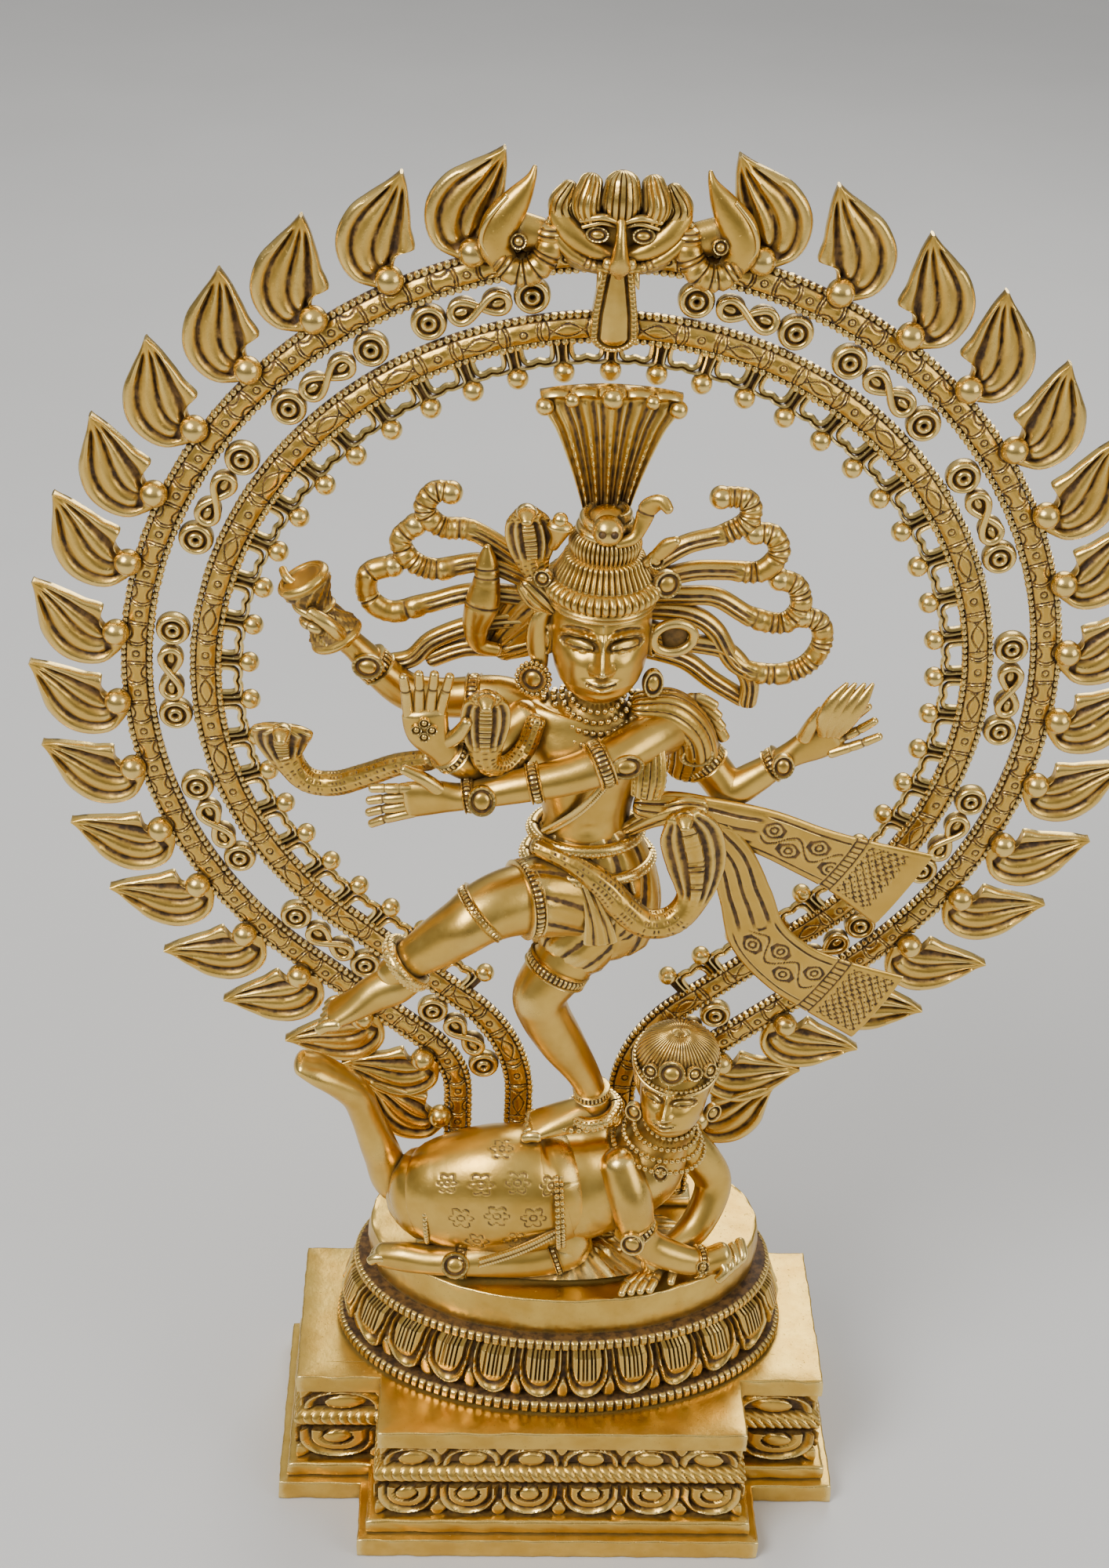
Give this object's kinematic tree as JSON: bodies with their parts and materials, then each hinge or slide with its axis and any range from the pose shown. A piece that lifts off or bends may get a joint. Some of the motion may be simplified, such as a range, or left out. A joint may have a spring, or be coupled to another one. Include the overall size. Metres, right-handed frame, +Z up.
{
  "type": "brass nataraja statue",
  "caption": "Cast brass dancing figure on a crouching dwarf, inside a flaming horseshoe arch that lifts out of an oval lotus seat on a stepped pedestal.",
  "frame": {"origin": "on the ground under the middle of the pedestal", "axes": "+Z up, +X to the viewer's right, -Y towards the viewer who faces the dancer"},
  "size_m": [0.6378, 0.24, 0.9049],
  "materials": {
    "brass_satin": "satin brushed brass on the bodies",
    "brass_burnished": "burnished high points and plain faces",
    "brass_relief": "chased relief with dark patina in the recesses",
    "steel_fasteners": "plain steel"
  },
  "bodies": {
    "root": {"base_plate": "brass_burnished", "petal_frieze": "brass_relief", "rope_moulding": "brass_relief", "bud_frieze": "brass_relief", "cap_slab": "brass_burnished", "lotus_seat": "brass_relief", "lotus_lower_beads": "brass_burnished", "lotus_upper_beads": "brass_burnished", "oval_plinth": "brass_burnished", "tie_rods": "steel_fasteners", "tie_washers": "steel_fasteners", "tie_nuts": "steel_fasteners", "dwarf_body": "brass_satin", "dwarf_head": "brass_satin", "dwarf_hair": "brass_relief", "dwarf_near_arm": "brass_satin", "dwarf_far_arm": "brass_satin", "dwarf_raised_leg": "brass_satin", "dwarf_folded_leg": "brass_satin", "dwarf_loincloth": "brass_relief", "dwarf_ornaments": "brass_burnished", "torso": "brass_satin", "hip_cloth": "brass_relief", "head": "brass_satin", "crown": "brass_relief", "crown_plume": "brass_relief", "crown_cobra": "brass_relief", "hair_left": "brass_relief", "hair_right": "brass_relief", "earrings": "brass_burnished", "necklaces": "brass_burnished", "waist_belts": "brass_burnished", "shoulder_tassels": "brass_relief", "drum_arm": "brass_satin", "blessing_arm": "brass_satin", "crossing_arm": "brass_satin", "flame_arm": "brass_satin", "drum": "brass_burnished", "hand_flame": "brass_burnished", "arm_bands": "brass_burnished", "arm_cobra": "brass_relief", "side_cobra": "brass_relief", "waist_cobra": "brass_relief", "sash": "brass_relief", "raised_leg": "brass_satin", "standing_leg": "brass_satin", "anklets": "brass_burnished"},
    "arch": {"outer_band": "brass_relief", "inner_band": "brass_relief", "beaded_cords": "brass_burnished", "rosettes": "brass_burnished", "figure_eights": "brass_burnished", "flames_left": "brass_relief", "flames_right": "brass_relief", "flame_balls": "brass_burnished", "fringe_wire": "brass_relief", "fringe_balls": "brass_burnished", "lion_mask": "brass_relief", "tongue_pendant": "brass_burnished", "arch_feet": "brass_relief"}
  },
  "joints": [
    {"name": "arch_lift", "type": "slide", "parent": "root", "child": "arch", "axis": [0, 0, 1], "range_m": [0, 0.04]}
  ]
}
